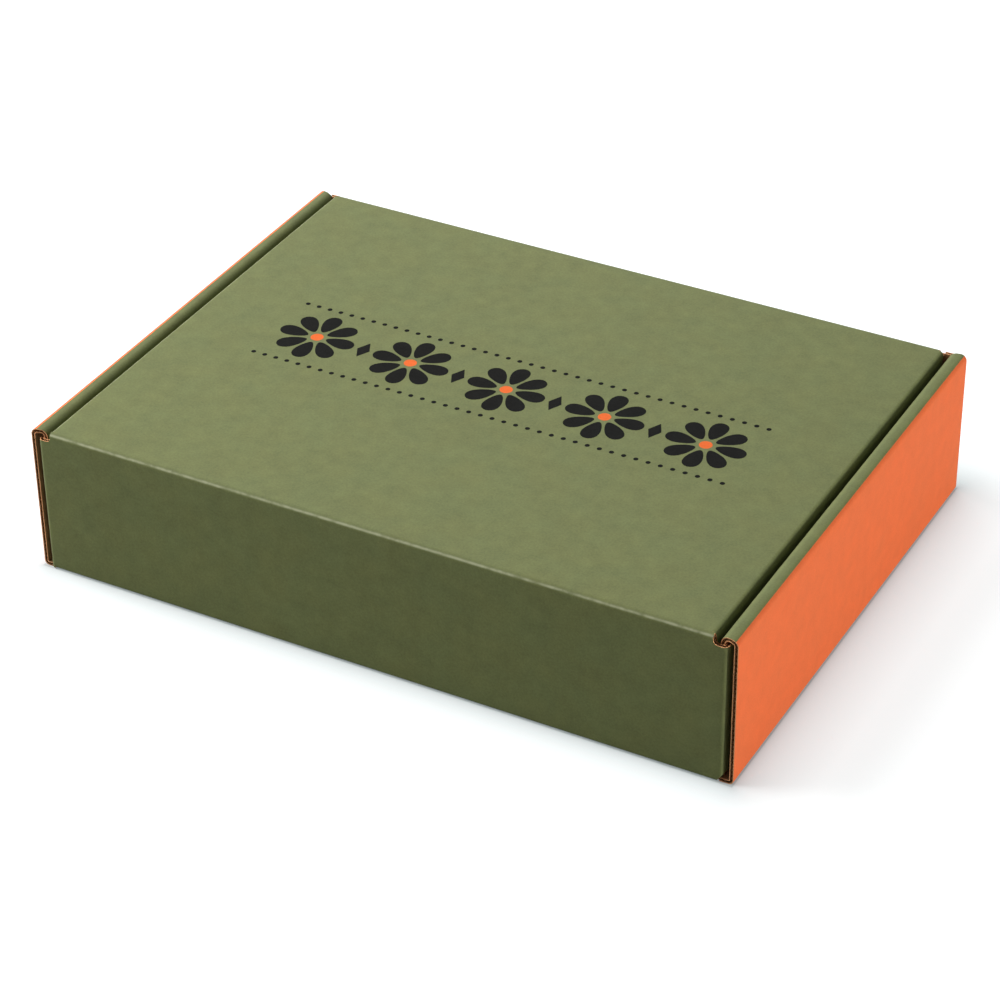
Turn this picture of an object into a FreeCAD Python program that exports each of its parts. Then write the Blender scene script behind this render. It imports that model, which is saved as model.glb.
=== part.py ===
import FreeCAD, Part
import math
import os
import Sketcher

# Corrugated mailer box, folded from one sheet: a tray with rolled double side walls, and a lid on its crease.
# Frame: origin under the middle of the box, X along the long walls, Y from the hinge wall to the far wall, Z up.

doc = FreeCAD.newDocument("MailerBox")


# Lengths closer than this count as the same, in millimetres
SAME_LENGTH = 0.001

# Driving sizes in millimetres, angles in degrees
SIZES = [
    ("box_width", 320, "outside, over the side walls"),
    ("box_depth", 233, "outside, over the hinge wall and the far wall"),
    ("box_height", 69, "floor to the top of the closed lid"),
    ("board", 1.8, "thickness of the board"),
    ("fold_radius", 0.2, "inner radius of every fold"),
    ("roll_width", 7.7, "outer face to inner face of a rolled side wall"),
    ("roll_drop", 0.6, "rolled wall's top below the lid's top"),
    ("end_setback", 1.2, "side wall's cut edge behind the face of the long wall beside it"),
    ("layer_gap", 0.1, "between a dust flap and the inner wall that it lies against"),
    ("rest_gap", 0.2, "inner walls and dust flaps above the base"),
    ("dust_flap_length", 75, "from the long wall's face to the flap's free edge"),
    ("dust_flap_corner", 9, "radius of a dust flap's free corners"),
    ("far_wall_drop", 3.2, "far wall's top edge below the lid's top"),
    ("corner_drop", 4.5, "notch at each end of the hinge wall, below the lid's top"),
    ("corner_radius", 2, "inner corner of that notch"),
    ("foot_cut", 3.2, "slanted cut across the foot of each upright fold, along the floor"),
    ("foot_rise", 4.4, "height of that cut at the dust flap's outer face"),
    ("tab_width", 40, "locking tab under an inner wall"),
    ("tab_spacing", 116, "between the two tabs of one wall, centre to centre"),
    ("tab_rise", 0.4, "locking tab's edge above the floor"),
    ("slot_play", 0.3, "base slot around its tab, each way"),
    ("lid_groove", 1.8, "between the lid's side fold and the rolled wall"),
    ("crease_relief", 0.5, "lid crease ends this far inside the lid's side folds"),
    ("crease_gap", 1, "degrees from the crease's middle to the cut of each half"),
    ("side_flap_length", 32, "lid's side flap, from the lid's top to its free edge"),
    ("side_flap_taper", 10, "how much each end of a side flap slants in"),
    ("tuck_gap", 0.3, "between the tuck flap's fold and the far wall"),
    ("tuck_length", 46, "tuck flap below its fold"),
    ("tuck_ease", 0.8, "degrees that the tuck flap leans in beyond what its swing needs"),
    ("tuck_corner", 14, "radius of the tuck flap's free corners"),
]

# Places that follow from the driving sizes
PLACES = [
    ("half_width", "Sizes.box_width / 2"),
    ("half_depth", "Sizes.box_depth / 2"),
    ("fold", "Sizes.fold_radius + Sizes.board"),
    ("side_end", "half_depth - Sizes.end_setback"),
    ("inner_end", "half_depth - fold"),
    ("wall_face", "half_width - Sizes.board"),
    ("roll_face", "half_width - Sizes.roll_width"),
    ("roll_back", "roll_face + Sizes.board"),
    ("roll_top", "Sizes.box_height - Sizes.roll_drop"),
    ("dust_face", "roll_back + Sizes.layer_gap + Sizes.board"),
    ("low_edge", "Sizes.board + Sizes.rest_gap"),
    ("far_top", "Sizes.box_height - Sizes.far_wall_drop"),
    ("corner_top", "Sizes.box_height - Sizes.corner_drop"),
    ("upright", "dust_face - fold"),
    ("lid_face", "roll_face - Sizes.lid_groove"),
    ("lid_flat", "lid_face - fold"),
    ("crease_end", "lid_face - Sizes.crease_relief"),
    ("crease_y", "fold - half_depth"),
    ("crease_z", "Sizes.box_height - fold"),
    ("tuck_y", "half_depth - Sizes.board - Sizes.tuck_gap - fold"),
    ("lid_reach", "tuck_y + fold - crease_y"),
    ("tuck_lean", "asin(Sizes.tuck_length / (2 * lid_reach)) / 1deg + Sizes.tuck_ease"),
    ("side_flap_tip", "Sizes.box_height - Sizes.side_flap_length"),
]


def fill_sheet(name, rows):
    """A sheet with one named value a row."""
    sheet = doc.addObject("Spreadsheet::Sheet", name)
    for row, (alias, content, *note) in enumerate(rows, start=1):
        sheet.set(f"A{row}", alias)
        sheet.set(f"B{row}", f"={content}" if isinstance(content, str) else str(content))
        sheet.setAlias(f"B{row}", alias)
        if note:
            sheet.set(f"C{row}", note[0])
    doc.recompute()
    return sheet


fill_sheet("Sizes", SIZES)
places = fill_sheet("Places", PLACES)


def value(expression):
    """The number that an expression over the two sheets gives."""
    result = places.evalExpression(expression)
    return float(getattr(result, "Value", result))


def new_body(label):
    body = doc.addObject("PartDesign::Body", label)
    body.Label = label
    return body


def new_sketch(body, name, plane, offset=None):
    """A sketch on one of the body's own planes, moved along that plane's normal by offset."""
    sketch = body.newObject("Sketcher::SketchObject", name)
    support = next(item for item in body.Origin.OriginFeatures if item.Role == plane)
    sketch.AttachmentSupport = [(support, "")]
    sketch.MapMode = "FlatFace"
    if offset:
        sketch.setExpression(".AttachmentOffset.Base.z", offset)
    return sketch


def dimension(sketch, expression, kind, *where):
    """A sketch dimension that follows the sheets."""
    size = value(expression)
    if kind == "Angle":
        size = math.radians(size)
    index = sketch.addConstraint(Sketcher.Constraint(kind, *where, size))
    sketch.setExpression(f"Constraints[{index}]", expression)


def place_point(sketch, geometry, point, across, up):
    """Holds a point at two named distances from the sketch's origin."""
    dimension(sketch, across, "DistanceX", -1, 1, geometry, point)
    dimension(sketch, up, "DistanceY", -1, 1, geometry, point)


def outline(sketch, corners):
    """A closed outline of straight edges through named corners."""
    points = [FreeCAD.Vector(value(across), value(up)) for across, up in corners]
    edges = []
    for start, end in zip(points, points[1:] + points[:1]):
        edges.append(sketch.addGeometry(Part.LineSegment(start, end), False))
    for edge, following in zip(edges, edges[1:] + edges[:1]):
        sketch.addConstraint(Sketcher.Constraint("Coincident", edge, 2, following, 1))
    for edge, (across, up) in zip(edges, corners):
        place_point(sketch, edge, 1, across, up)


def folded_strip(sketch, first, centres, last):
    """Outline of the board's edge along a strip whose folds all turn left.

    The printed face is on the right of the way along it, and centres are the folds' centres. An end is one of:
    ("run", heading, level): a straight run along an axis, as far as that level,
    ("lean", heading, length): a straight run at a named heading, with a named length,
    ("cut", angle): no run, because the strip is cut through its fold, at that angle about the fold's centre.
    """
    middles = [FreeCAD.Vector(value(across), value(up)) for across, up in centres]
    headings = [math.atan2(b.y - a.y, b.x - a.x) for a, b in zip(middles, middles[1:])]
    for index, (kind, angle, *size) in ((0, first), (len(headings) + 1, last)):
        square = math.pi / 2 if kind == "cut" else 0
        headings.insert(index, math.radians(value(angle)) + square)
    faces = []
    for radius in ("Places.fold", "Sizes.fold_radius"):
        faces.append(folded_face(sketch, first, middles, headings, last, radius))
    (outer_arcs, outer_ends), (inner_arcs, inner_ends) = faces
    for outer, inner, (across, up) in zip(outer_arcs, inner_arcs, centres):
        place_point(sketch, outer, 3, across, up)
        sketch.addConstraint(Sketcher.Constraint("Coincident", outer, 3, inner, 3))
    for side, end in enumerate((first, last)):
        close_strip(sketch, end, outer_ends[side], inner_ends[side], outer_arcs[-side])


def folded_face(sketch, first, middles, headings, last, radius_name):
    """One face of a folded strip: an arc round each fold, and straight runs that touch the arcs."""
    radius = value(radius_name)
    arcs = []
    curves = []
    for middle, coming, going in zip(middles, headings, headings[1:]):
        circle = Part.Circle(middle, FreeCAD.Vector(0, 0, 1), radius)
        start = coming - math.pi / 2
        curve = Part.ArcOfCircle(circle, start, start + (going - coming) % (2 * math.pi))
        curves.append(curve)
        arcs.append(sketch.addGeometry(curve, False))
        dimension(sketch, radius_name, "Radius", arcs[-1])
    for index in range(len(arcs) - 1):
        run = Part.LineSegment(curves[index].EndPoint, curves[index + 1].StartPoint)
        line = sketch.addGeometry(run, False)
        sketch.addConstraint(Sketcher.Constraint("Tangent", arcs[index], 2, line, 1))
        sketch.addConstraint(Sketcher.Constraint("Tangent", line, 2, arcs[index + 1], 1))
    ends = []
    stops = ((first, arcs[0], 1, curves[0].StartPoint), (last, arcs[-1], 2, curves[-1].EndPoint))
    for (kind, angle, *size), arc, point, joint in stops:
        if kind == "cut":
            ends.append((arc, point, joint))
            continue
        heading = math.radians(value(angle))
        away = FreeCAD.Vector(math.cos(heading), math.sin(heading)) * (1 if point == 2 else -1)
        length = value(size[0])
        if kind == "run":
            upright = abs(away.y) > abs(away.x)
            length = (length - joint.y) / away.y if upright else (length - joint.x) / away.x
        free = joint + away * length
        line = sketch.addGeometry(Part.LineSegment(joint, free), False)
        sketch.addConstraint(Sketcher.Constraint("Tangent", arc, point, line, 1))
        ends.append((line, 2, free))
    return arcs, ends


def close_strip(sketch, end, outer, inner, fold):
    """The raw edge that closes one end of a strip, from its inner face to its printed one."""
    kind, angle, *size = end
    cap = sketch.addGeometry(Part.LineSegment(inner[2], outer[2]), False)
    sketch.addConstraint(Sketcher.Constraint("Coincident", cap, 1, inner[0], inner[1]))
    sketch.addConstraint(Sketcher.Constraint("Coincident", cap, 2, outer[0], outer[1]))
    if kind == "cut":
        sketch.addConstraint(Sketcher.Constraint("PointOnObject", fold, 3, cap))
        dimension(sketch, angle, "Angle", cap)
    elif kind == "lean":
        dimension(sketch, f"{angle} - 180", "Angle", outer[0])
        sketch.addConstraint(Sketcher.Constraint("Parallel", inner[0], outer[0]))
        sketch.addConstraint(Sketcher.Constraint("Perpendicular", cap, outer[0]))
        dimension(sketch, size[0], "Distance", outer[0])
    else:
        turn = math.radians(value(angle))
        upright = abs(math.sin(turn)) > abs(math.cos(turn))
        along, across = ("Vertical", "Horizontal") if upright else ("Horizontal", "Vertical")
        for line in (outer[0], inner[0]):
            sketch.addConstraint(Sketcher.Constraint(along, line))
        sketch.addConstraint(Sketcher.Constraint(across, cap))
        dimension(sketch, size[0], "DistanceY" if upright else "DistanceX", -1, 1, outer[0], 2)


def pad(body, sketch, name, length, symmetric=False):
    feature = body.newObject("PartDesign::Pad", name)
    feature.Profile = sketch
    feature.SideType = "Symmetric" if symmetric else "One side"
    feature.setExpression("Length", length)
    return feature


def pocket(body, sketch, name, length=None, upward=False):
    """Cuts a sketch through everything both ways, or to a named depth on one side."""
    feature = body.newObject("PartDesign::Pocket", name)
    feature.Profile = sketch
    if length is None:
        feature.Type = "ThroughAll"
        feature.SideType = "Symmetric"
    else:
        feature.setExpression("Length", length)
        feature.Reversed = upward
    return feature


def round_edges(body, name, radius, places_of_edges):
    """Rounds the board's corners: the short edges whose middles lie at the given places, None for any."""
    doc.recompute()
    tip = body.Tip
    chosen = []
    for number, edge in enumerate(tip.Shape.Edges, start=1):
        if abs(edge.Length - value("Sizes.board")) > SAME_LENGTH:
            continue
        middle = edge.CenterOfMass
        for place in places_of_edges:
            gaps = [abs(a - b) for a, b in zip(middle, place) if b is not None]
            if max(gaps) < value("Sizes.board"):
                chosen.append(f"Edge{number}")
    feature = body.newObject("PartDesign::Fillet", name)
    feature.Base = (tip, chosen)
    feature.setExpression("Radius", radius)
    return feature


def make_side_walls():
    """Base and both short sides in one channel: outer wall, rolled top and inner wall on each side."""
    body = new_body("side_walls")
    channel = new_sketch(body, "side_channel", "XZ_Plane")
    outer_fold = "(Places.half_width - Places.fold)"
    inner_fold = "(Places.roll_face + Places.fold)"
    top_fold = "Places.roll_top - Places.fold"
    folds = [
        (f"-{inner_fold}", top_fold),
        (f"-{outer_fold}", top_fold),
        (f"-{outer_fold}", "Places.fold"),
        (outer_fold, "Places.fold"),
        (outer_fold, top_fold),
        (inner_fold, top_fold),
    ]
    folded_strip(channel, ("run", "90", "Places.low_edge"), folds, ("run", "270", "Places.low_edge"))
    pad(body, channel, "side_channel_pad", "2 * Places.side_end", symmetric=True)

    trims = new_sketch(body, "side_ends", "XY_Plane")
    for end in (1, -1):
        corners = [
            ("-Places.wall_face", f"{end} * Places.half_depth"),
            ("-Places.wall_face", f"{end} * Places.side_end"),
            ("-Places.roll_back", f"{end} * Places.inner_end"),
            ("Places.roll_back", f"{end} * Places.inner_end"),
            ("Places.wall_face", f"{end} * Places.side_end"),
            ("Places.wall_face", f"{end} * Places.half_depth"),
        ]
        outline(trims, corners)
    pocket(body, trims, "side_ends_cut")
    return body


def make_tray(side_walls):
    """Long walls on the base, their dust flaps, the rolled side walls, and the tabs that lock into the base."""
    body = new_body("tray")
    walls = new_sketch(body, "long_walls", "YZ_Plane")
    folds = [
        ("Places.crease_y", "Places.crease_z"),
        ("Places.fold - Places.half_depth", "Places.fold"),
        ("Places.half_depth - Places.fold", "Places.fold"),
    ]
    folded_strip(walls, ("cut", "135 + Sizes.crease_gap"), folds, ("run", "90", "Places.far_top"))
    pad(body, walls, "long_walls_pad", "2 * Places.upright", symmetric=True)

    notches = new_sketch(body, "hinge_corners", "XZ_Plane", "Places.half_depth")
    for side in (1, -1):
        corners = [
            (f"{side} * Places.crease_end", "Places.corner_top"),
            (f"{side} * Places.half_width", "Places.corner_top"),
            (f"{side} * Places.half_width", "Sizes.box_height"),
            (f"{side} * Places.crease_end", "Sizes.box_height"),
        ]
        outline(notches, corners)
    pocket(body, notches, "hinge_corners_cut", "Places.fold")
    inner_corners = []
    for side in (1, -1):
        inner_corners.append((side * value("Places.crease_end"), None, value("Places.corner_top")))
    round_edges(body, "hinge_corners_round", "Sizes.corner_radius", inner_corners)

    corner_y = "(Places.half_depth - Places.fold)"
    flap_end = "(Places.half_depth - Sizes.dust_flap_length)"
    hinge_end = new_sketch(body, "hinge_wall_ends", "XY_Plane", "Places.low_edge")
    folds = [("-Places.upright", f"-{corner_y}"), ("Places.upright", f"-{corner_y}")]
    folded_strip(hinge_end, ("run", "270", f"-{flap_end}"), folds, ("run", "90", f"-{flap_end}"))
    pad(body, hinge_end, "hinge_wall_ends_pad", "Places.corner_top - Places.low_edge")
    far_end = new_sketch(body, "far_wall_ends", "XY_Plane", "Places.low_edge")
    folds = [("Places.upright", corner_y), ("-Places.upright", corner_y)]
    folded_strip(far_end, ("run", "90", flap_end), folds, ("run", "270", flap_end))
    pad(body, far_end, "far_wall_ends_pad", "Places.far_top - Places.low_edge")
    free_corners = []
    for end, top in ((-1, "Places.corner_top"), (1, "Places.far_top")):
        for level in (top, "Places.low_edge"):
            free_corners.append((None, end * value(flap_end), value(level)))
    round_edges(body, "dust_flaps_round", "Sizes.dust_flap_corner", free_corners)

    for name, end in (("hinge", 1), ("far", -1)):
        feet = new_sketch(body, f"{name}_feet", "XZ_Plane", f"{end} * Places.half_depth")
        for side in (1, -1):
            corners = [
                (f"{side} * (Places.dust_face - Sizes.foot_cut)", "0"),
                (f"{side} * Places.dust_face", "Sizes.foot_rise"),
                (f"{side} * Places.dust_face", "0"),
            ]
            outline(feet, corners)
        pocket(body, feet, f"{name}_feet_cut", "Places.fold", upward=end < 0)

    joined = body.newObject("PartDesign::Boolean", "with_side_walls")
    joined.Type = "Fuse"
    joined.setObjects([side_walls])

    slots = new_sketch(body, "base_slots", "XY_Plane")
    tabs = new_sketch(body, "locking_tabs", "XY_Plane", "Sizes.tab_rise")
    for sketch, play in ((slots, "Sizes.slot_play"), (tabs, "0")):
        for side in (1, -1):
            near = f"{side} * (Places.roll_face - {play})"
            far = f"{side} * (Places.roll_back + {play})"
            for row in (1, -1):
                low = f"{row} * Sizes.tab_spacing / 2 - Sizes.tab_width / 2 - {play}"
                high = f"{row} * Sizes.tab_spacing / 2 + Sizes.tab_width / 2 + {play}"
                outline(sketch, [(near, low), (far, low), (far, high), (near, high)])
    pocket(body, slots, "base_slots_cut", "Places.low_edge", upward=True)
    pad(body, tabs, "locking_tabs_pad", "Places.low_edge - Sizes.tab_rise")
    return body


def make_lid():
    """Lid panel with its side flaps, the tuck flap, and the lid's half of the crease."""
    body = new_body("lid")
    across = new_sketch(body, "lid_channel", "XZ_Plane", "-Places.tuck_y")
    folds = [("Places.lid_flat", "Places.crease_z"), ("-Places.lid_flat", "Places.crease_z")]
    folded_strip(across, ("run", "90", "Places.side_flap_tip"), folds, ("run", "270", "Places.side_flap_tip"))
    pad(body, across, "lid_channel_pad", "Places.tuck_y - Places.crease_y")

    tapers = new_sketch(body, "side_flap_ends", "YZ_Plane")
    for end, way in (("Places.crease_y", 1), ("Places.tuck_y", -1)):
        corners = [
            (end, "Places.crease_z"),
            (f"{end} + {way} * Sizes.side_flap_taper", "Places.side_flap_tip"),
            (end, "Places.side_flap_tip"),
        ]
        outline(tapers, corners)
    pocket(body, tapers, "side_flap_ends_cut")

    along = new_sketch(body, "lid_length", "YZ_Plane")
    crease = ("Places.crease_y", "Places.crease_z")
    crease_cut = ("cut", "135 - Sizes.crease_gap")
    folds = [("Places.tuck_y", "Places.crease_z"), crease]
    folded_strip(along, ("lean", "90 - Places.tuck_lean", "Sizes.tuck_length"), folds, crease_cut)
    pad(body, along, "lid_length_pad", "2 * Places.lid_flat", symmetric=True)

    lean = math.radians(value("Places.tuck_lean"))
    tip = value("Places.crease_z") - value("Sizes.tuck_length") * math.cos(lean)
    corners = [(side * value("Places.lid_flat"), None, tip) for side in (1, -1)]
    round_edges(body, "tuck_round", "Sizes.tuck_corner", corners)

    half_crease = new_sketch(body, "crease_ends", "YZ_Plane")
    folded_strip(half_crease, ("cut", "90"), [crease], crease_cut)
    pad(body, half_crease, "crease_ends_pad", "2 * Places.crease_end", symmetric=True)
    return body


nodes = [make_tray(make_side_walls()), make_lid()]
doc.recompute()

for item in doc.Objects:
    if "Invalid" in item.State or "Error" in item.State:
        raise RuntimeError(f"{item.Name} failed: {item.State}")
for node in nodes:
    if node.Shape.isNull() or not node.Shape.isValid():
        raise RuntimeError(f"{node.Label} has no valid shape")
    if len(node.Shape.Solids) != 1:
        raise RuntimeError(f"{node.Label} is {len(node.Shape.Solids)} solids, not one folded sheet")

os.makedirs("parts", exist_ok=True)
for node in nodes:
    node.Shape.exportStep(f"parts/{node.Label}.step")
    box = node.Shape.BoundBox
    sides = f"{box.XLength:.1f} x {box.YLength:.1f} x {box.ZLength:.1f} mm"
    print(f"{node.Label}: {sides}, {node.Shape.Volume:.0f} cubic mm")
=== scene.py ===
import math

import bpy
from mathutils import Matrix, Vector, noise


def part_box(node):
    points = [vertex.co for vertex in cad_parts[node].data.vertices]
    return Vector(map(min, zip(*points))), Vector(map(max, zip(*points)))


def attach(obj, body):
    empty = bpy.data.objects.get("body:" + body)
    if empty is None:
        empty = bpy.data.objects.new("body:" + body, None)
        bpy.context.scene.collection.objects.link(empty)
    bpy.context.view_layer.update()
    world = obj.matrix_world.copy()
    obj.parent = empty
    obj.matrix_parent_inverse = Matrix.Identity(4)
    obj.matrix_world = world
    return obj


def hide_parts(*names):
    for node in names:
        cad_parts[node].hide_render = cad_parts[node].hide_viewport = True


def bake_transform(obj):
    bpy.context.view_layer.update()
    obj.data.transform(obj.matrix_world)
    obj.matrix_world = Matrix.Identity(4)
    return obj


# Corrugated mailer box: each layer of its board is one welded sheet that follows the folded blank.

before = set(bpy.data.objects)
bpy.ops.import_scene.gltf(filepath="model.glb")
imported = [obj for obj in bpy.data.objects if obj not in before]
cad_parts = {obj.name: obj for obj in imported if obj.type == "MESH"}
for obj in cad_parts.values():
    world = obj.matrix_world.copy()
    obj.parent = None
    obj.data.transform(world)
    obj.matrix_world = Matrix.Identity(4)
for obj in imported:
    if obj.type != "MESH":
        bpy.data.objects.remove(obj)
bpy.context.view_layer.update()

# What the frame gives
TRAY_LOW, TRAY_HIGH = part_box("tray")
LID_LOW, LID_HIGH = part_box("lid")
HALF_WIDTH, HALF_DEPTH = TRAY_HIGH.x, TRAY_HIGH.y
HEIGHT = LID_HIGH.z
ROLL_TOP = TRAY_HIGH.z
LID_FACE = LID_HIGH.x

# The board, in metres
BOARD = 0.0018
FOLD_IN = 0.0002
FOLD = FOLD_IN + BOARD
LINER = 0.00036
FLUTE_PITCH = 0.0022
FLUTE_WALL = 0.0002
FLUTE_STEP = FLUTE_PITCH / 8
FLUTE_FOLD_STEPS = 14

# The tray
ROLL_WIDTH = 0.0077
ROLL_OUTER_FOLD = 0.003
ROLL_INNER_FOLD = 0.0036
END_SETBACK = 0.0012
LAYER_GAP = 0.0001
REST_GAP = 0.0002
DUST_FLAP = 0.075
DUST_CORNER = 0.009
FAR_DROP = 0.0032
CORNER_DROP = 0.0045
CORNER_RADIUS = 0.002
FOOT_CUT = 0.0032
FOOT_RISE = 0.0044
WHOLE_FOOT = 0.0006
EAR_DROP = 0.0022
ROLL_FACE = HALF_WIDTH - ROLL_WIDTH
ROLL_BACK = ROLL_FACE + BOARD
DUST_FACE = ROLL_BACK + LAYER_GAP + BOARD
UPRIGHT = DUST_FACE - FOLD
SIDE_END = HALF_DEPTH - END_SETBACK
INNER_END = HALF_DEPTH - FOLD
LOW_EDGE = BOARD + REST_GAP
CORNER_TOP = HEIGHT - CORNER_DROP
FAR_TOP = HEIGHT - FAR_DROP
EAR_TOP = HEIGHT - EAR_DROP

# The lid and its crease
LID_FLAT = LID_FACE - FOLD
CREASE_INSET = 0.0005
CREASE_END = LID_FACE - CREASE_INSET
CREASE_Y = FOLD - HALF_DEPTH
CREASE_Z = HEIGHT - FOLD
CREASE_RUN = CREASE_Z - CORNER_TOP
SIDE_FLAP = 0.032
SIDE_TAPER = 0.010
TUCK_GAP = 0.0003
TUCK_Y = HALF_DEPTH - BOARD - TUCK_GAP - FOLD
TUCK_LENGTH = 0.046
TUCK_EASE = 0.8
TUCK_CORNER = 0.014
TUCK_LEAN = math.degrees(math.asin(TUCK_LENGTH / (2 * (TUCK_Y + FOLD - CREASE_Y)))) + TUCK_EASE

# Meshes
FOLD_STEPS = 10
RUN_STEP = 0.008
FLAT_WIDTH = 0.144
FLAT_WIDTH_END = 0.152
FLAT_DEPTH = 0.104
FLAT_DEPTH_END = 0.109
LOWEST_ROW = 0.010
HIGHEST_ROW = 0.056
SAME_PLACE = 0.000001
SETTLE = 0.00012
SETTLE_SCALE = 0.09
CREASE_STEP = 0.0005
CREASE_PITCH = 0.001
CREASE_WAVE = 0.00022
CREASE_WAVE_SCALE = 0.0035
CREASE_LEAN = 1.6

# The ornament printed on the lid
ROSETTES = 5
ROSETTE_PITCH = 0.046
PETALS = 8
PETAL_PLACE = 0.0112
PETAL_LENGTH = 0.0135
PETAL_BREADTH = 0.0074
PETAL_TAPER = 0.35
PETAL_POINTS = 24
EYE_RADIUS = 0.0028
EYE_POINTS = 24
LOZENGE_WIDTH = 0.006
LOZENGE_HEIGHT = 0.012
BEAD_ROW = 0.0225
BEAD_RADIUS = 0.0011
BEAD_POINTS = 12
BEAD_PITCH = 0.0055
INK_RISE = 0.00002

# Degrees from the top of each rolled wall to the edge of its orange print
PRINT_EDGE = {1: 37, -1: 8}

# How much paler the print is painted along the folds of the right and the left side: partly rubbed print,
# partly a painted highlight on the folds that face the light
ROLL_WEAR_AND_HIGHLIGHT = {1: 0.55, -1: 0.0}
UPRIGHT_WEAR_AND_HIGHLIGHT = {1: 0.35, -1: 0.75}
LID_WEAR_AND_HIGHLIGHT = {1: 0.1, -1: 1.0}
CREASE_WEAR_AND_HIGHLIGHT = 1.0

# Colours of the print, of the kraft liner, of its raw edge and of the core
GREEN = (0.145, 0.165, 0.056)
# The paler green of the folds: partly rubbed print, partly a painted highlight
WORN_AND_HIGHLIT_GREEN = (0.38, 0.40, 0.24)
ORANGE = (0.875, 0.168, 0.042)
KRAFT = (0.43, 0.235, 0.115)
RAW = (0.90, 0.44, 0.20)
CORE = (0.20, 0.08, 0.022)
INK = (0.012, 0.012, 0.011)

# Noises in the paper: scale for each metre, detail, and the values that count as none and as all
CLOUDS = (150, 6.0, 0.25, 0.75)
FIBRES = (1200, 2.0, 0.25, 0.75)
TINTS = (65, 3.0, 0.35, 0.65)
PATCHES_OF_WEAR_AND_HIGHLIGHT = (260, 2.0, 0.3, 0.65)

# Paper: the clouds' share of its mottle, how far its tints go, its relief, and how its folds are painted
# paler, as wear and as a painted highlight
CLOUD_SHARE = 0.52
TINT = 0.02
BUMP_STRENGTH = 0.2
BUMP_DEPTH = 0.0001
WEAR_AND_HIGHLIGHT_POWER = 5.0
LEAST_WEAR_AND_HIGHLIGHT = 0.35

# How strong the mottle of the liners, of the orange print and of the black ink is
PAPER_MOTTLE = 0.22
ORANGE_MOTTLE = 0.08
INK_MOTTLE = 0.3

# The floor: how pale the camera and the box see it, and how it glows for the camera where it touches the box,
# BESIDE metres away from it, and beyond FAR_END. The weak glow beside the box is a painted shadow round its
# footprint, with less red in it to cancel the orange wall's bounce
FLOOR_SIZE = 12
FLOOR_SEEN = (0.40, 0.40, 0.40)
FLOOR_BOUNCE = (0.35, 0.35, 0.35)
PAINTED_SHADOW_GLOW = (0.20, 0.235, 0.24)
BESIDE_GLOW = (0.80, 0.845, 0.85)
FAR_GLOW = (1.0, 1.0, 1.0)
BESIDE = 0.03
BESIDE_POWER = 0.3
FAR_START = 0.3
FAR_END = 1.2

# Lights: place, size and share
WORLD_LIGHT = 0.07
LIGHTS = {
    "key_light": ((-1.6, -0.38, 1.76), 1.25, 1.11),
    "back_light": ((-0.85, 1.5, 1.2), 1.4, 0.36),
    "front_light": ((-0.75, -0.8, 0.45), 0.4, 0.13),
    "right_light": ((1.6, 0.0, 0.06), 0.12, 0.57),
}

# The camera, fitted to the straight edges in the photo: it circles a point near the hinge wall's foot
CAMERA_TARGET = Vector((0.0, -HALF_DEPTH, 0.0))
CAMERA_AZIMUTH = 28.64
CAMERA_ELEVATION = 33.92
CAMERA_ROLL = 0.61
CAMERA_DISTANCE = 1.2890
CAMERA_RIGHT = 0.0528
CAMERA_UP = 0.0682
CAMERA_LENS = 115.2
CAMERA_SENSOR = 36.0
CAMERA_CLIP = 0.01


def evenly(low, high, step):
    """Places from low to high, both included, about a step apart."""
    count = max(1, round((high - low) / step))
    return [low + (high - low) * index / count for index in range(count + 1)]


class Stop:
    """One place along a folded strip: its point and outward normal in the strip's plane."""

    def __init__(self, point, normal, length, wear_and_highlight, finish):
        self.point = point
        self.normal = normal
        self.length = length
        self.wear_and_highlight = wear_and_highlight
        self.finish = finish


def turned(vector, degrees):
    angle = math.radians(degrees)
    cosine, sine = math.cos(angle), math.sin(angle)
    return Vector((vector.x * cosine - vector.y * sine, vector.x * sine + vector.y * cosine))


def run(length, finish):
    """A flat stretch of a path, with stops spread evenly."""
    return "run", length, finish, 0.0, 0.0


def levels(places, finish):
    """A flat stretch of a path, with stops at these distances."""
    return "level", places, finish, 0.0, 0.0


def fold(degrees, finish, wear_and_highlight=0.0, radius=FOLD):
    """A fold to the left, and how pale its print is painted, from 0 to 1: partly rubbed print, partly a
    painted highlight.
    """
    return "fold", degrees, finish, radius, wear_and_highlight


def folded_path(start, heading, steps, step=RUN_STEP, fold_steps=FOLD_STEPS, lean=1.0):
    """Stops along the printed face, which is on the right of the way.

    A lean over 1 puts the wear and the painted highlight of a fold past its middle.
    """
    point = Vector(start)
    way = turned(Vector((1, 0)), heading)
    length = 0.0
    stops = [Stop(point.copy(), turned(way, -90), length, 0.0, steps[0][2])]
    for kind, size, finish, radius, worn_and_highlit in steps:
        if kind == "fold":
            centre = point + turned(way, 90) * radius
            arm = point - centre
            count = max(1, round(fold_steps * size / 90))
            for index in range(1, count + 1):
                turn = size * index / count
                wear_and_highlight = worn_and_highlit * math.sin(math.pi * (index / count) ** lean)
                normal = turned(arm, turn).normalized()
                along = length + radius * math.radians(turn)
                stops.append(Stop(centre + turned(arm, turn), normal, along, wear_and_highlight, finish))
            length += radius * math.radians(size)
            way = turned(way, size)
        else:
            places = evenly(0, size, step)[1:] if kind == "run" else size
            for place in places:
                stops.append(Stop(point + way * place, turned(way, -90), length + place, 0.0, finish))
            length += places[-1]
        point = stops[-1].point.copy()
    return stops


def across_depth(a, b, spread):
    """Places a strip whose outline is seen along Y."""
    return Vector((a, spread, b))


def across_width(a, b, spread):
    """Places a strip whose outline is seen along X."""
    return Vector((spread, a, b))


def upwards(a, b, spread):
    """Places a strip whose outline is seen from above."""
    return Vector((a, b, spread))


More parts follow.
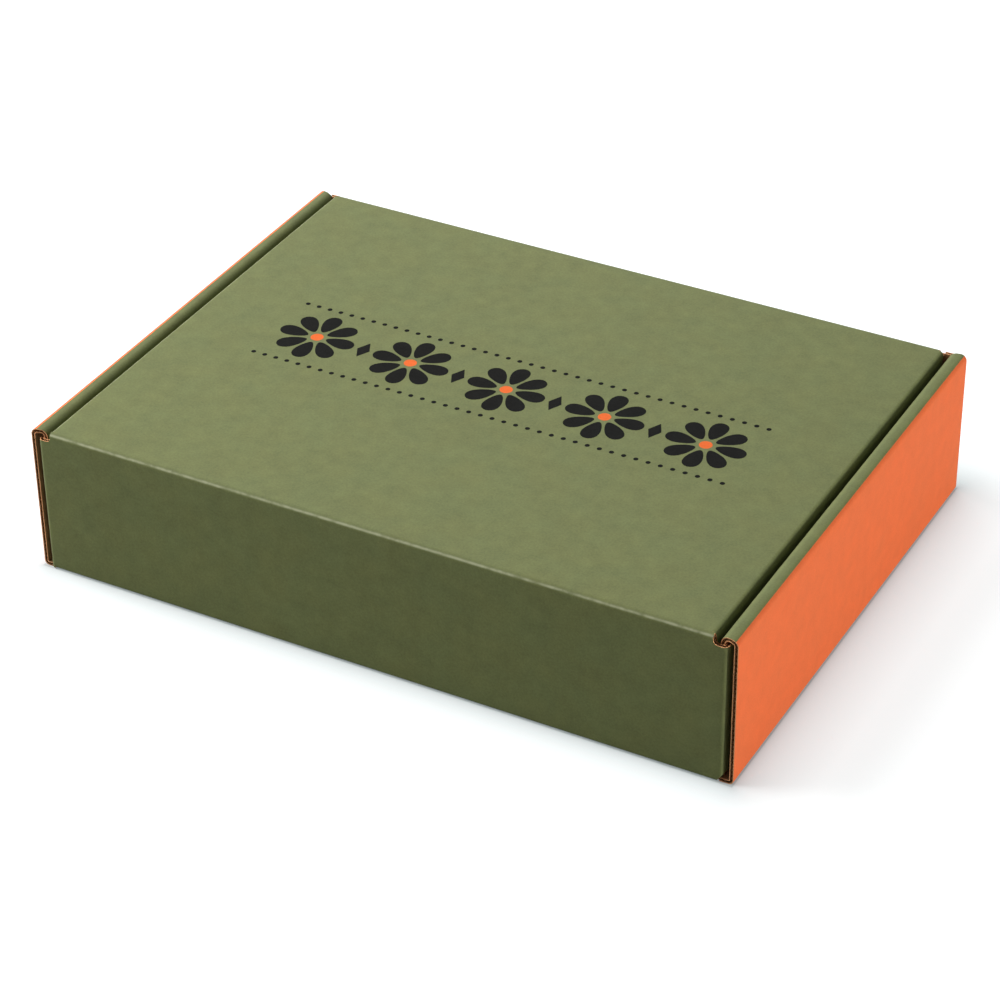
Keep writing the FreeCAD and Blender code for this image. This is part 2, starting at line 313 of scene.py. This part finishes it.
def settled(point):
    """The board isn't quite flat: it draws in from its true planes by a hair's breadth."""
    drawn = Vector()
    for axis, reach in enumerate((HALF_WIDTH, HALF_DEPTH, HEIGHT)):
        wave = noise.noise(point / SETTLE_SCALE + Vector((3.1, 5.7, 9.2)) * (axis + 1))
        drawn[axis] = point[axis] / reach * SETTLE * (0.6 + 0.4 * wave)
    return point - drawn


class Sheet:
    """The printed face of a piece of board, as welded patches of quads."""

    def __init__(self):
        self.index = {}
        self.points = []
        self.normals = []
        self.wear_and_highlight = []
        self.faces = []
        self.finishes = []

    def vertex(self, point, normal, wear_and_highlight):
        key = tuple(round(value * 1e7) for value in point)
        if key not in self.index:
            self.index[key] = len(self.points)
            self.points.append(point)
            self.normals.append(normal)
            self.wear_and_highlight.append(wear_and_highlight)
        return self.index[key]

    def patch(self, stops, places, span, place, depth=None):
        """Quads over a path's stops and the places across it, held within the span at each stop."""
        rows = []
        for stop in stops:
            low, high = span(stop)
            row = []
            for spread in places:
                spread = min(max(spread, low), high)
                normal = place(*stop.normal, 0.0)
                sunk = depth(stop, spread) if depth else 0.0
                row.append(self.vertex(place(*stop.point, spread) - normal * sunk, normal, stop.wear_and_highlight))
            rows.append(row)
        for stop, row, following in zip(stops[1:], rows, rows[1:]):
            for a, b, c, d in zip(row, row[1:], following[1:], following):
                corners = list(dict.fromkeys((a, b, c, d)))
                if len(corners) > 2:
                    self.faces.append(self.facing_out(corners))
                    self.finishes.append(stop.finish)

    def facing_out(self, corners):
        a, b, c = (self.points[corner] for corner in corners[:3])
        last = self.points[corners[-1]]
        normal = (b - a).cross(last - a) + (c - b).cross(a - b)
        return corners if normal.dot(self.normals[corners[0]]) > 0 else corners[::-1]

    def solid(self, name, top, bottom, finish=None):
        """A closed mesh between two depths under the printed face, of all faces or one finish's."""
        chosen = [face for face, kind in zip(self.faces, self.finishes) if finish in (None, kind)]
        used = sorted({corner for face in chosen for corner in face})
        upper = {corner: index for index, corner in enumerate(used)}
        count = len(used)
        points = []
        for depth in (top, bottom):
            points += [settled(self.points[corner] - self.normals[corner] * depth) for corner in used]
        faces = [[upper[corner] for corner in face] for face in chosen]
        edges = {}
        for face in faces:
            for a, b in zip(face, face[1:] + face[:1]):
                edges[(a, b)] = True
        rim = [(a, b) for a, b in edges if (b, a) not in edges]
        sides = [[b, a, a + count, b + count] for a, b in rim]
        under = [[corner + count for corner in reversed(face)] for face in faces]
        mesh = bpy.data.meshes.new(name)
        mesh.from_pydata(points, [], faces + under + sides)
        kinds = [0] * len(faces) + [1] * len(under) + [2] * len(sides)
        mesh.polygons.foreach_set("material_index", kinds)
        mesh.polygons.foreach_set("use_smooth", [True] * len(kinds))
        # The mask of rubbed print and painted highlight along the folds
        wear_and_highlight = [self.wear_and_highlight[corner] for corner in used] * 2
        mesh.attributes.new("wear_and_highlight", "FLOAT", "POINT").data.foreach_set("value", wear_and_highlight)
        mesh.update()
        sharp_rim(mesh, rim, count)
        piece = bpy.data.objects.new(name, mesh)
        bpy.context.scene.collection.objects.link(piece)
        return piece


def sharp_rim(mesh, rim, count):
    """Keeps the raw edge crisp beside the smooth faces."""
    sharp = {tuple(sorted(pair)) for pair in rim}
    sharp |= {(a + count, b + count) for a, b in sharp}
    for edge in mesh.edges:
        edge.use_edge_sharp = tuple(sorted(edge.vertices)) in sharp


def mirrored(places):
    return sorted({round(side * place, 7) for place in places for side in (1, -1)})


# Places across the board that patches share, so that they weld
WIDE_PLACES = mirrored(evenly(0, FLAT_WIDTH, RUN_STEP) + [LID_FLAT, CREASE_END, FLAT_WIDTH_END, UPRIGHT])
DEEP_PLACES = mirrored(evenly(0, FLAT_DEPTH, RUN_STEP) + [FLAT_DEPTH_END, INNER_END, SIDE_END])
LEVELS = [FOLD] + evenly(LOWEST_ROW, HIGHEST_ROW, RUN_STEP) + [CORNER_TOP, FAR_TOP]


def foot_span(left_is_whole):
    """How wide a long wall's lower end is: its corners are cut slantwise, apart from a whole one."""
    def span(stop):
        share = min(1.0, stop.point.y / FOOT_RISE)
        reach = min(UPRIGHT, DUST_FACE - FOOT_CUT + FOOT_CUT * share)
        return -UPRIGHT if left_is_whole else -reach, reach
    return span


def cut_foot(across):
    """Where the slanted cut passes a place across the upright fold."""
    return max(FOLD, (across - (DUST_FACE - FOOT_CUT)) * FOOT_RISE / FOOT_CUT)


def whole_foot(across):
    """The hinge wall's left corner isn't cut: its upright fold reaches down almost to the floor."""
    return WHOLE_FOOT


def side_span(end):
    """How far a side wall's board reaches: its ends slant back between the outer and the inner wall."""
    def span(stop):
        share = (HALF_WIDTH - BOARD - abs(stop.point.x)) / (HALF_WIDTH - BOARD - ROLL_BACK)
        share = min(1.0, max(0.0, share)) if stop.point.y > FOLD else 0.0
        return -end(share), end(share)
    return span


def side_wall_path(side, step=RUN_STEP, fold_steps=FOLD_STEPS):
    """From the base over the bottom fold, up the outer wall, over the roll and down the inner wall."""
    rise = ROLL_TOP - FOLD - ROLL_OUTER_FOLD
    print_edge = PRINT_EDGE[side]
    steps = [
        run(HALF_WIDTH - FOLD - UPRIGHT, "green"),
        fold(45, "green"),
        fold(45, "orange"),
        run(rise, "orange"),
        fold(90 - print_edge, "orange", 0.0, ROLL_OUTER_FOLD),
        fold(print_edge, "green", 0.0, ROLL_OUTER_FOLD),
        run(ROLL_WIDTH - ROLL_OUTER_FOLD - ROLL_INNER_FOLD, "green"),
        fold(90, "green", ROLL_WEAR_AND_HIGHLIGHT[side], ROLL_INNER_FOLD),
        run(ROLL_TOP - ROLL_INNER_FOLD - LOW_EDGE, "green"),
    ]
    stops = folded_path((UPRIGHT, 0), 0, steps, step, fold_steps)
    return stops if side > 0 else other_side(stops)


def other_side(stops):
    """The same path mirrored, on the other side of the box."""
    flipped = []
    for stop in stops:
        point = Vector((-stop.point.x, stop.point.y))
        normal = Vector((-stop.normal.x, stop.normal.y))
        flipped.append(Stop(point, normal, stop.length, stop.wear_and_highlight, stop.finish))
    return flipped


def end_wall(side, top):
    """A long wall from its top edge down to the base, seen along X."""
    heights = [level for level in LEVELS if level < top] + [top]
    down = [top - height for height in reversed(heights)]
    stops = folded_path((-HALF_DEPTH, top), 270, [levels(down[1:], "green"), fold(90, "green")])
    return other_side(stops) if side > 0 else stops


def ear_path():
    """The end of the far wall's top edge, which stands higher beside the lid than behind it."""
    return other_side(folded_path((-HALF_DEPTH, EAR_TOP), 270, [levels([EAR_TOP - FAR_TOP], "green")]))


def dust_flap(side, end, step=RUN_STEP, fold_steps=FOLD_STEPS):
    """From a long wall round its upright fold and along the dust flap, seen from above."""
    steps = [fold(90, "green", UPRIGHT_WEAR_AND_HIGHLIGHT[side]), run(DUST_FLAP - FOLD, "green")]
    stops = folded_path((UPRIGHT, -HALF_DEPTH), 0, steps, step, fold_steps)
    for stop in stops:
        stop.point = Vector((stop.point.x * side, -stop.point.y * end))
        stop.normal = Vector((stop.normal.x * side, -stop.normal.y * end))
    return stops


def rounded(distance, radius):
    """How far a rounded corner draws an edge in, at a distance from the free end."""
    if distance >= radius:
        return 0.0
    return radius - math.sqrt(max(0.0, radius ** 2 - (radius - distance) ** 2))


def dust_span(top, foot):
    """How low and high a dust flap reaches: its free corners are round, and its fold ends at the foot."""
    def span(stop):
        free = DUST_FLAP - (HALF_DEPTH - abs(stop.point.y))
        corner = rounded(free, DUST_CORNER)
        low = foot(abs(stop.point.x)) if free > DUST_FLAP - FOLD - SAME_PLACE else LOW_EDGE
        return low + corner, top - corner
    return span


def corner_feet(side):
    """The foot of each of a long wall's upright folds, the right one first."""
    return (1, cut_foot), (-1, whole_foot if side < 0 else cut_foot)


def side_ends(share):
    return SIDE_END + (INNER_END - SIDE_END) * share


def tray_sheet():
    sheet = Sheet()
    base = folded_path((-UPRIGHT, 0), 0, [levels([x + UPRIGHT for x in WIDE_PLACES[1:]], "green")])
    sheet.patch(base, DEEP_PLACES, lambda stop: (CREASE_Y, -CREASE_Y), across_depth)
    for side in (1, -1):
        sheet.patch(side_wall_path(side), DEEP_PLACES, side_span(side_ends), across_depth)
    for side, top in ((-1, CORNER_TOP), (1, FAR_TOP)):
        sheet.patch(end_wall(side, top), WIDE_PLACES, foot_span(side < 0), across_width)
        for hand, foot in corner_feet(side):
            sheet.patch(dust_flap(hand, side), [0.0] + LEVELS, dust_span(top, foot), upwards)
    for hand in (1, -1):
        places = [place for place in WIDE_PLACES if place * hand >= CREASE_END - SAME_PLACE]
        sheet.patch(ear_path(), places, lambda stop: (-UPRIGHT, UPRIGHT), across_width)
    return sheet


def lid_sheet():
    sheet = Sheet()
    start = CREASE_Y + CREASE_RUN
    rows = [place for place in DEEP_PLACES if start < place < TUCK_Y]
    places = [start] + rows + [TUCK_Y]
    flat = levels([TUCK_Y - place for place in reversed(places[:-1])], "green")
    panel = folded_path((TUCK_Y, HEIGHT), 180, [flat])
    sheet.patch(panel, WIDE_PLACES, lambda stop: (-LID_FLAT, LID_FLAT), across_width)
    flap_places = [CREASE_Y] + places
    for side in (1, -1):
        sheet.patch(side_flap_path(side), flap_places, side_flap_span, across_depth)
    sheet.patch(tuck_path(run(TUCK_LENGTH, "green")), WIDE_PLACES, tuck_span, across_width)
    return sheet


def side_flap_path(side, step=RUN_STEP, fold_steps=FOLD_STEPS):
    drop = CREASE_Z - (HEIGHT - SIDE_FLAP)
    steps = [fold(90, "green", LID_WEAR_AND_HIGHLIGHT[side]), run(drop, "green")]
    stops = folded_path((-LID_FLAT, HEIGHT), 180, steps, step, fold_steps)
    return other_side(stops) if side > 0 else stops


def tuck_path(flap):
    """From the lid round its far fold, and down the tuck flap."""
    return other_side(folded_path((-TUCK_Y, HEIGHT), 180, [fold(90 + TUCK_LEAN, "green"), flap]))


def side_flap_span(stop):
    slant = max(0.0, (CREASE_Z - stop.point.y) / (CREASE_Z - HEIGHT + SIDE_FLAP)) * SIDE_TAPER
    return CREASE_Y + slant, TUCK_Y - slant


def tuck_span(stop):
    free = TUCK_LENGTH + FOLD * math.radians(90 + TUCK_LEAN) - stop.length
    reach = LID_FLAT - rounded(free, TUCK_CORNER)
    return -reach, reach


def crease_span(stop):
    """The crease is narrower than the hinge wall: a rounded notch takes each of its ends."""
    up = stop.point.y - CORNER_TOP
    if up < CORNER_RADIUS:
        reach = CREASE_END + CORNER_RADIUS - math.sqrt(CORNER_RADIUS ** 2 - (CORNER_RADIUS - up) ** 2)
    elif stop.point.x > CREASE_Y:
        reach = LID_FLAT
    else:
        reach = CREASE_END
    return -reach, reach


def crease_sheet():
    sheet = Sheet()
    steps = [run(CREASE_RUN, "green"), fold(90, "green", CREASE_WEAR_AND_HIGHLIGHT), run(CREASE_RUN, "green")]
    stops = folded_path((CREASE_Y + CREASE_RUN, HEIGHT), 180, steps, CREASE_STEP, FOLD_STEPS, CREASE_LEAN)
    widest = CREASE_END + CORNER_RADIUS
    places = mirrored(evenly(0, LID_FLAT, CREASE_PITCH) + evenly(LID_FLAT, widest, CREASE_STEP))
    sheet.patch(stops, places, crease_span, across_width, crease_wave)
    return sheet


def crease_wave(stop, spread):
    """The crease isn't straight: it sinks a little where the flutes under it give way."""
    wave = noise.noise(Vector((spread / CREASE_WAVE_SCALE, 0, 0)))
    return stop.wear_and_highlight * CREASE_WAVE * (0.5 + 0.5 * wave)


def flute_depth(distance):
    """How deep the core lies under the printed face, at a distance across the flutes."""
    swing = (BOARD - 2 * LINER - FLUTE_WALL) / 2
    return LINER + swing * (1 + math.sin(2 * math.pi * distance / FLUTE_PITCH))


def waves_along(stop, spread):
    return flute_depth(stop.length)


def waves_across(stop, spread):
    return flute_depth(spread)


def tray_flutes():
    """The tray's fluted core. Its flutes run from the hinge wall to the far wall, and up both of them."""
    sheet = Sheet()
    ends = -INNER_END, INNER_END
    base = folded_path((-UPRIGHT, 0), 0, [run(2 * UPRIGHT, "core")], FLUTE_STEP)
    sheet.patch(base, ends, lambda stop: ends, across_depth, waves_along)
    for side in (1, -1):
        stops = side_wall_path(side, FLUTE_STEP, FLUTE_FOLD_STEPS)
        sheet.patch(stops, [-SIDE_END, SIDE_END], side_span(side_ends), across_depth, waves_along)
    for side, top in ((-1, CORNER_TOP), (1, FAR_TOP)):
        flat = [stop for stop in end_wall(side, top) if stop.point.y >= FOLD]
        places = evenly(-UPRIGHT, UPRIGHT, FLUTE_STEP)
        sheet.patch([flat[0], flat[-1]], places, foot_span(side < 0), across_width, waves_across)
        for hand, foot in corner_feet(side):
            stops = dust_flap(hand, side, FLUTE_STEP, FLUTE_FOLD_STEPS)
            sheet.patch(stops, [0.0, top], dust_span(top, foot), upwards, waves_along)
    return sheet


def lid_flutes():
    sheet = Sheet()
    start = CREASE_Y + CREASE_RUN
    places = evenly(-LID_FLAT, LID_FLAT, FLUTE_STEP)
    panel = folded_path((TUCK_Y, HEIGHT), 180, [levels([TUCK_Y - start], "core")])
    sheet.patch(panel, places, lambda stop: (-LID_FLAT, LID_FLAT), across_width, waves_across)
    for side in (1, -1):
        stops = side_flap_path(side, FLUTE_STEP, FLUTE_FOLD_STEPS)
        sheet.patch(stops, [CREASE_Y, TUCK_Y], side_flap_span, across_depth, waves_along)
    drops = [TUCK_LENGTH - TUCK_CORNER, TUCK_LENGTH - TUCK_CORNER / 3, TUCK_LENGTH]
    tuck = tuck_path(levels(drops, "core"))[FOLD_STEPS:]
    sheet.patch(tuck, places, tuck_span, across_width, waves_across)
    return sheet


def linear_mix(tree, factor, first, second):
    mix = tree.nodes.new("ShaderNodeMix")
    mix.data_type = "RGBA"
    for name, value in (("Factor", factor), ("A", first), ("B", second)):
        socket = mix.inputs[name]
        if hasattr(value, "links"):
            tree.links.new(value, socket)
        elif isinstance(value, tuple):
            socket.default_value = (*value, 1)
        else:
            socket.default_value = value
    return mix.outputs["Result"]


def noise_value(tree, coordinates, scale, detail, low, high):
    grain = tree.nodes.new("ShaderNodeTexNoise")
    grain.inputs["Scale"].default_value = scale
    grain.inputs["Detail"].default_value = detail
    tree.links.new(coordinates, grain.inputs["Vector"])
    return ramp_node(tree, grain.outputs["Fac"], low, high)


def math_node(tree, operation, first, second):
    node = tree.nodes.new("ShaderNodeMath")
    node.operation = operation
    for socket, value in zip(node.inputs, (first, second)):
        if hasattr(value, "links"):
            tree.links.new(value, socket)
        else:
            socket.default_value = value
    return node.outputs["Value"]


def shade(colour, brightness, warmth):
    """A colour made brighter, and warmer by a share of its red and blue."""
    red, green, blue = (channel * brightness for channel in colour)
    return red * (1 + warmth), green, blue * (1 - warmth)


def rubbed_and_highlit_share(tree, coordinates):
    """How far a fold's print is painted paler, as rubbed print and as a painted highlight: in patches, and
    most along its middle.
    """
    wear_and_highlight = tree.nodes.new("ShaderNodeAttribute")
    wear_and_highlight.attribute_name = "wear_and_highlight"
    narrowed = math_node(tree, "POWER", wear_and_highlight.outputs["Fac"], WEAR_AND_HIGHLIGHT_POWER)
    patches = math_node(tree, "ADD", LEAST_WEAR_AND_HIGHLIGHT, noise_value(tree, coordinates, *PATCHES_OF_WEAR_AND_HIGHLIGHT))
    return math_node(tree, "MULTIPLY", narrowed, patches)


def paper(name, colour, worn_and_highlit=None, mottle=PAPER_MOTTLE, roughness=0.7, shine=0.3):
    """Paper liner: a cloudy mottle, fine fibres, and folds where the colour is painted paler in patches,
    partly as rubbed print and partly as a painted highlight.
    """
    material = bpy.data.materials.new(name)
    material.use_nodes = True
    tree = material.node_tree
    shader = tree.nodes["Principled BSDF"]
    coordinates = tree.nodes.new("ShaderNodeTexCoord").outputs["Object"]
    clouds = math_node(tree, "MULTIPLY", noise_value(tree, coordinates, *CLOUDS), CLOUD_SHARE)
    fibres = math_node(tree, "MULTIPLY", noise_value(tree, coordinates, *FIBRES), 1 - CLOUD_SHARE)
    grain = math_node(tree, "ADD", clouds, fibres)
    tints = noise_value(tree, coordinates, *TINTS)
    dark = linear_mix(tree, tints, shade(colour, 1 - mottle, -TINT), shade(colour, 1 - mottle, TINT))
    light = linear_mix(tree, tints, shade(colour, 1 + mottle, -TINT), shade(colour, 1 + mottle, TINT))
    base = linear_mix(tree, grain, dark, light)
    if worn_and_highlit:
        # Folds are painted paler here: rubbed print and a painted highlight
        base = linear_mix(tree, rubbed_and_highlit_share(tree, coordinates), base, worn_and_highlit)
    tree.links.new(base, shader.inputs["Base Color"])
    shader.inputs["Roughness"].default_value = roughness
    shader.inputs["Specular IOR Level"].default_value = shine
    bump = tree.nodes.new("ShaderNodeBump")
    bump.inputs["Strength"].default_value = BUMP_STRENGTH
    bump.inputs["Distance"].default_value = BUMP_DEPTH
    tree.links.new(grain, bump.inputs["Height"])
    tree.links.new(bump.outputs["Normal"], shader.inputs["Normal"])
    return material


def dress(piece, body, slot_name, *materials):
    """Gives a piece its materials (face, back and raw edge), and the body that it rides on. The slot name is
    not used.
    """
    for material in materials:
        piece.data.materials.append(material)
    if body:
        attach(piece, body)


def build_box():
    green = paper("printed_green", GREEN, WORN_AND_HIGHLIT_GREEN)
    orange = paper("printed_orange", ORANGE, mottle=ORANGE_MOTTLE)
    kraft = paper("kraft_liner", KRAFT)
    raw = paper("raw_edge", RAW)
    core = paper("kraft_core", CORE)
    tray = tray_sheet()
    tray_print = tray.solid("tray_print", 0.0, LINER, "green")
    dress(tray_print, "tray", "green_board", green, kraft, raw)
    dress(tray.solid("side_print", 0.0, LINER, "orange"), "tray", "orange_board", orange, kraft, raw)
    dress(tray.solid("tray_liner", BOARD - LINER, BOARD), "tray", "kraft_board", kraft, kraft, raw)
    flutes = tray_flutes().solid("tray_flutes", 0.0, FLUTE_WALL)
    dress(flutes, "tray", "kraft_board", core, core, core)
    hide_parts("tray")
    lid = lid_sheet()
    lid_print = lid.solid("lid_print", 0.0, LINER)
    dress(lid_print, "lid", "green_board", green, kraft, raw)
    dress(lid.solid("lid_liner", BOARD - LINER, BOARD), "lid", "kraft_board", kraft, kraft, raw)
    flutes = lid_flutes().solid("lid_flutes", 0.0, FLUTE_WALL)
    dress(flutes, "lid", "kraft_board", core, core, core)
    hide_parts("lid")
    build_crease(green, kraft, raw)
    build_frieze()


def build_crease(green, kraft, raw):
    """The crease bends between the tray and the lid, over the part between their flat runs."""
    crease = crease_sheet()
    printed = crease.solid("crease_print", 0.0, LINER)
    inside = crease.solid("crease_liner", BOARD - LINER, BOARD)
    dress(printed, None, "green_board", green, kraft, raw)
    dress(inside, None, "kraft_board", kraft, kraft, raw)
    for piece in (printed, inside):
        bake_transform(piece)


def petal(middle, turn):
    """A leaf shape that points away from the rosette's middle, broader towards its tip."""
    points = []
    for index in range(PETAL_POINTS):
        angle = 2 * math.pi * index / PETAL_POINTS
        along = PETAL_PLACE + PETAL_LENGTH / 2 * math.cos(angle)
        across = PETAL_BREADTH / 2 * math.sin(angle) * (1 + PETAL_TAPER * math.cos(angle))
        points.append(middle + turned(Vector((along, across)), turn))
    return points


def disc(middle, radius, points):
    return [middle + turned(Vector((radius, 0)), 360 * index / points) for index in range(points)]


def lozenge(middle, half_width, half_height):
    ways = ((half_width, 0), (0, half_height), (-half_width, 0), (0, -half_height))
    return [middle + Vector(way) for way in ways]


def printed_shapes(name, shapes):
    """Shapes printed on the lid: each stands a hair's breadth proud, with a skirt into the liner."""
    points = []
    faces = []
    for shape in shapes:
        first = len(points)
        count = len(shape)
        middle = sum(shape, Vector((0, 0))) / count
        for spot in [middle] + shape:
            points.append(settled(Vector((spot.x, spot.y, HEIGHT))) + Vector((0, 0, INK_RISE)))
        points += [point - Vector((0, 0, LINER / 2)) for point in points[first + 1:]]
        for index in range(count):
            here, following = first + 1 + index, first + 1 + (index + 1) % count
            faces.append([first, here, following])
            faces.append([following, here, here + count, following + count])
    mesh = bpy.data.meshes.new(name)
    mesh.from_pydata(points, [], faces)
    mesh.update()
    piece = bpy.data.objects.new(name, mesh)
    bpy.context.scene.collection.objects.link(piece)
    return piece


def build_frieze():
    """A plain ornament across the lid: rosettes with lozenges between them, and beads on both sides."""
    black = paper("black_print", INK, mottle=INK_MOTTLE, roughness=0.9, shine=0.05)
    orange = paper("orange_print", ORANGE, mottle=ORANGE_MOTTLE, roughness=0.9, shine=0.1)
    dark = []
    bright = []
    for number in range(ROSETTES):
        middle = Vector(((number - (ROSETTES - 1) / 2) * ROSETTE_PITCH, 0))
        dark += [petal(middle, 360 * index / PETALS) for index in range(PETALS)]
        bright.append(disc(middle, EYE_RADIUS, EYE_POINTS))
        if number < ROSETTES - 1:
            between = middle + Vector((ROSETTE_PITCH / 2, 0))
            dark.append(lozenge(between, LOZENGE_WIDTH / 2, LOZENGE_HEIGHT / 2))
    half_length = (ROSETTES - 1) / 2 * ROSETTE_PITCH + PETAL_PLACE + PETAL_LENGTH / 2
    for across in evenly(-half_length, half_length, BEAD_PITCH):
        for side in (1, -1):
            dark.append(disc(Vector((across, side * BEAD_ROW)), BEAD_RADIUS, BEAD_POINTS))
    dress(printed_shapes("frieze_black", dark), "lid", "black_ink", black)
    dress(printed_shapes("frieze_orange", bright), "lid", "orange_board", orange)


def background_rays(tree):
    """1 for the rays that show the background: the camera's, and those that gloss or glass sends on."""
    path = tree.nodes.new("ShaderNodeLightPath").outputs
    sent_on = math_node(tree, "ADD", path["Is Glossy Ray"], path["Is Transmission Ray"])
    return math_node(tree, "MINIMUM", math_node(tree, "ADD", path["Is Camera Ray"], sent_on), 1.0)


def build_stage():
    """A pale floor. The camera sees it white, with the box's soft shadow, partly cast by the lamps and partly
    a painted shadow in its glow near the box, and the box sees plain grey.
    """
    bpy.ops.mesh.primitive_plane_add(size=FLOOR_SIZE)
    floor = bpy.context.object
    floor.name = "floor"
    material = bpy.data.materials.new("pale_floor")
    material.use_nodes = True
    tree = material.node_tree
    shader = tree.nodes["Principled BSDF"]
    seen = background_rays(tree)
    pale = linear_mix(tree, seen, FLOOR_BOUNCE, FLOOR_SEEN)
    tree.links.new(pale, shader.inputs["Base Color"])
    shader.inputs["Roughness"].default_value = 1.0
    shader.inputs["Specular IOR Level"].default_value = 0.0
    tree.links.new(floor_glow_with_painted_shadow(tree), shader.inputs["Emission Color"])
    tree.links.new(seen, shader.inputs["Emission Strength"])
    floor.data.materials.append(material)


def vector_node(tree, operation, first, second=None):
    node = tree.nodes.new("ShaderNodeVectorMath")
    node.operation = operation
    tree.links.new(first, node.inputs[0])
    if second:
        node.inputs[1].default_value = second
    return node.outputs["Value" if operation == "LENGTH" else "Vector"]


def ramp_node(tree, value, low, high):
    ramp = tree.nodes.new("ShaderNodeMapRange")
    ramp.inputs["From Min"].default_value = low
    ramp.inputs["From Max"].default_value = high
    tree.links.new(value, ramp.inputs["Value"])
    return ramp.outputs["Result"]


def floor_glow_with_painted_shadow(tree):
    """The glow rises fast beside the box, and then slowly, until the floor is as white as the world. The weak
    glow next to the box is a painted shadow along the tray's footprint.
    """
    spot = vector_node(tree, "ABSOLUTE", tree.nodes.new("ShaderNodeTexCoord").outputs["Object"])
    outside = vector_node(tree, "SUBTRACT", spot, (HALF_WIDTH, HALF_DEPTH, 0.0))
    away = vector_node(tree, "LENGTH", vector_node(tree, "MAXIMUM", outside, (0.0, 0.0, 0.0)))
    # Painted shadow: the glow is weakest where the floor touches the box
    beside = math_node(tree, "POWER", ramp_node(tree, away, 0.0, BESIDE), BESIDE_POWER)
    near = linear_mix(tree, beside, PAINTED_SHADOW_GLOW, BESIDE_GLOW)
    return linear_mix(tree, ramp_node(tree, away, FAR_START, FAR_END), near, FAR_GLOW)


def soft_light(name, place, size, share):
    """A square light that faces the box. Its share is how bright a white face turned to it looks."""
    place = Vector(place)
    data = bpy.data.lights.new(name, "AREA")
    data.shape = "SQUARE"
    data.size = size
    data.energy = share * math.pi ** 2 * place.length_squared
    lamp = bpy.data.objects.new(name, data)
    bpy.context.scene.collection.objects.link(lamp)
    lamp.location = place
    lamp.rotation_mode = "QUATERNION"
    lamp.rotation_quaternion = (-place).to_track_quat("-Z", "Y")


def build_light():
    world = bpy.data.worlds.new("studio")
    bpy.context.scene.world = world
    world.use_nodes = True
    tree = world.node_tree
    white = math_node(tree, "MULTIPLY", background_rays(tree), 1 - WORLD_LIGHT)
    background = tree.nodes["Background"]
    background.inputs["Color"].default_value = (1, 1, 1, 1)
    tree.links.new(math_node(tree, "ADD", white, WORLD_LIGHT), background.inputs["Strength"])
    for name, (place, size, share) in LIGHTS.items():
        soft_light(name, place, size, share)


def build_camera():
    data = bpy.data.cameras.new("camera")
    data.sensor_width = CAMERA_SENSOR
    data.lens = CAMERA_LENS
    data.clip_start = CAMERA_CLIP
    camera = bpy.data.objects.new("camera", data)
    bpy.context.scene.collection.objects.link(camera)
    turn, rise = math.radians(CAMERA_AZIMUTH), math.radians(CAMERA_ELEVATION)
    right = Vector((math.cos(turn), math.sin(turn), 0))
    back = Vector((math.sin(turn) * math.cos(rise), -math.cos(turn) * math.cos(rise), math.sin(rise)))
    up = back.cross(right)
    place = CAMERA_TARGET + right * CAMERA_RIGHT + up * CAMERA_UP + back * CAMERA_DISTANCE
    axes = Matrix((right, up, back)).transposed().to_4x4()
    roll = Matrix.Rotation(math.radians(-CAMERA_ROLL), 4, "Z")
    camera.matrix_world = Matrix.Translation(place) @ axes @ roll
    bpy.context.scene.camera = camera


bpy.context.scene.view_settings.view_transform = "Standard"
build_box()
build_stage()
build_light()
build_camera()
